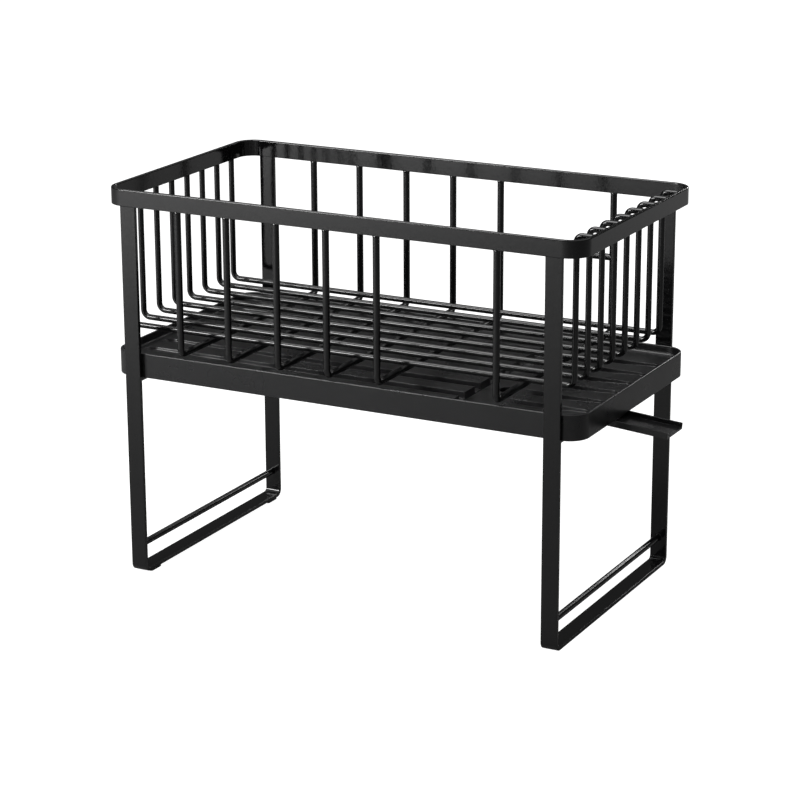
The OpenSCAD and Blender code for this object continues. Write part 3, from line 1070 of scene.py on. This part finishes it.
class RACK_OT_stage(bpy.types.Operator):
    """Floor, light and camera"""

    bl_idname = "rack.stage"
    bl_label = "Stage"

    def execute(self, context):
        stage = context.scene.rack_stage
        self.floor(stage)
        self.light(stage)
        self.camera(stage)
        return {"FINISHED"}

    def floor(self, stage):
        """A pale floor: even white to the camera, lit by the lamps for every other ray."""
        let_go()
        bpy.ops.mesh.primitive_plane_add(size=FLOOR_SIZE, location=(0, 0, 0))
        floor = bpy.context.object
        floor.name = "studio_floor"
        material = bpy.data.materials.new("Studio floor")
        material.use_nodes = True
        tree = material.node_tree
        surface = tree.nodes["Principled BSDF"]
        seen = tree.nodes.new("ShaderNodeLightPath")
        glow = tree.nodes.new("ShaderNodeMix")
        glow.data_type = "RGBA"
        glow.inputs["A"].default_value = (0, 0, 0, 1)
        glow.inputs["B"].default_value = (*stage.floor_glow, 1)
        link(tree, seen.outputs["Is Camera Ray"], glow.inputs["Factor"])
        link(tree, glow.outputs["Result"], surface.inputs["Emission Color"])
        surface.inputs["Emission Strength"].default_value = FLOOR_STRENGTH
        surface.inputs["Base Color"].default_value = (*stage.floor_colour, 1)
        behind = tree.nodes.new("ShaderNodeNewGeometry").outputs["Backfacing"]
        link(tree, maths(tree, "SUBTRACT", 1.0, behind), surface.inputs["Alpha"])
        surface.inputs["Roughness"].default_value = FLOOR_ROUGHNESS
        surface.inputs["Specular IOR Level"].default_value = FLOOR_SPECULAR
        floor.data.materials.append(material)

    def light(self, stage):
        """A dim world that is white to the camera, an overhead dome and three softboxes."""
        world = bpy.data.worlds.new("Studio")
        bpy.context.scene.world = world
        world.use_nodes = True
        background = world.node_tree.nodes["Background"]
        background.inputs["Color"].default_value = (1, 1, 1, 1)
        tree = world.node_tree
        seen = tree.nodes.new("ShaderNodeLightPath")
        level = blend_range(tree, seen.outputs["Is Camera Ray"], 0.0, 1.0, stage.sky, 1.0)
        link(tree, level, background.inputs["Strength"])
        let_go()
        bpy.ops.object.light_add(type="SUN", location=(0, 0, DOME_HEIGHT))
        dome = bpy.context.object
        dome.name = "overhead_dome"
        dome.data.energy = stage.dome
        dome.data.angle = DOME_ANGLE
        aim = middle("rim_band")
        soft_box("top_softbox", TOP_LAMP, aim, TOP_LAMP_WIDTH, TOP_LAMP_HEIGHT, stage.key)
        for name, spot, power in (("front_floor_softbox", FRONT_LAMP, stage.front_floor),
                                  ("back_floor_softbox", BACK_LAMP, stage.back_floor)):
            lamp = soft_box(name, (*spot, FLOOR_LAMP_HEIGHT), (*spot, 0.0),
                            FLOOR_LAMP_SIZE, FLOOR_LAMP_SIZE, power)
            lamp.visible_camera = False
        bpy.context.scene.view_settings.view_transform = "Standard"

    def camera(self, stage):
        rim = middle("rim_band")
        aim = Vector((rim.x, rim.y, stage.aim_height))
        back = Vector((math.sin(stage.azimuth) * math.cos(stage.elevation),
                       -math.cos(stage.azimuth) * math.cos(stage.elevation),
                       math.sin(stage.elevation)))
        let_go()
        bpy.ops.object.camera_add(location=tuple(aim + back * stage.distance))
        camera = bpy.context.object
        turn = (Matrix.Rotation(stage.azimuth, 3, "Z")
                @ Matrix.Rotation(QUARTER - stage.elevation, 3, "X")
                @ Matrix.Rotation(stage.roll, 3, "Z"))
        camera.rotation_euler = turn.to_euler()
        camera.data.sensor_width = SENSOR_WIDTH
        camera.data.lens = stage.lens
        bpy.context.scene.camera = camera


class RACK_PT_panel(bpy.types.Panel):
    """Lists the rack's sizes, finishes and pieces"""

    bl_idname = "RACK_PT_panel"
    bl_label = "Dish drying rack"
    bl_space_type = "VIEW_3D"
    bl_region_type = "UI"
    bl_category = "Rack"

    def draw(self, context):
        for group in (context.scene.rack_sizes, context.scene.rack_finish, context.scene.rack_stage):
            column = self.layout.column()
            for name in group.__annotations__:
                column.prop(group, name)
        for operator in OPERATORS:
            self.layout.operator(operator.bl_idname)


GROUPS = {"rack_sizes": RackSizes, "rack_finish": RackFinish, "rack_stage": RackStage}
OPERATORS = (
    RACK_OT_rim, RACK_OT_legs, RACK_OT_cross_wires, RACK_OT_long_wires, RACK_OT_rods, RACK_OT_pads,
    RACK_OT_tray, RACK_OT_spout, RACK_OT_stage,
)


def register():
    for group in (*GROUPS.values(), *OPERATORS, RACK_PT_panel):
        bpy.utils.register_class(group)
    for name, group in GROUPS.items():
        setattr(bpy.types.Scene, name, bpy.props.PointerProperty(type=group))


def unregister():
    for name in GROUPS:
        delattr(bpy.types.Scene, name)
    for group in reversed((*GROUPS.values(), *OPERATORS, RACK_PT_panel)):
        bpy.utils.unregister_class(group)


def main():
    register()
    bpy.ops.rack.rim()
    bpy.ops.rack.legs()
    bpy.ops.rack.cross_wires()
    bpy.ops.rack.long_wires()
    bpy.ops.rack.rods()
    bpy.ops.rack.pads()
    bpy.ops.rack.tray()
    bpy.ops.rack.spout()
    bpy.ops.rack.stage()


if __name__ == "__main__":
    main()
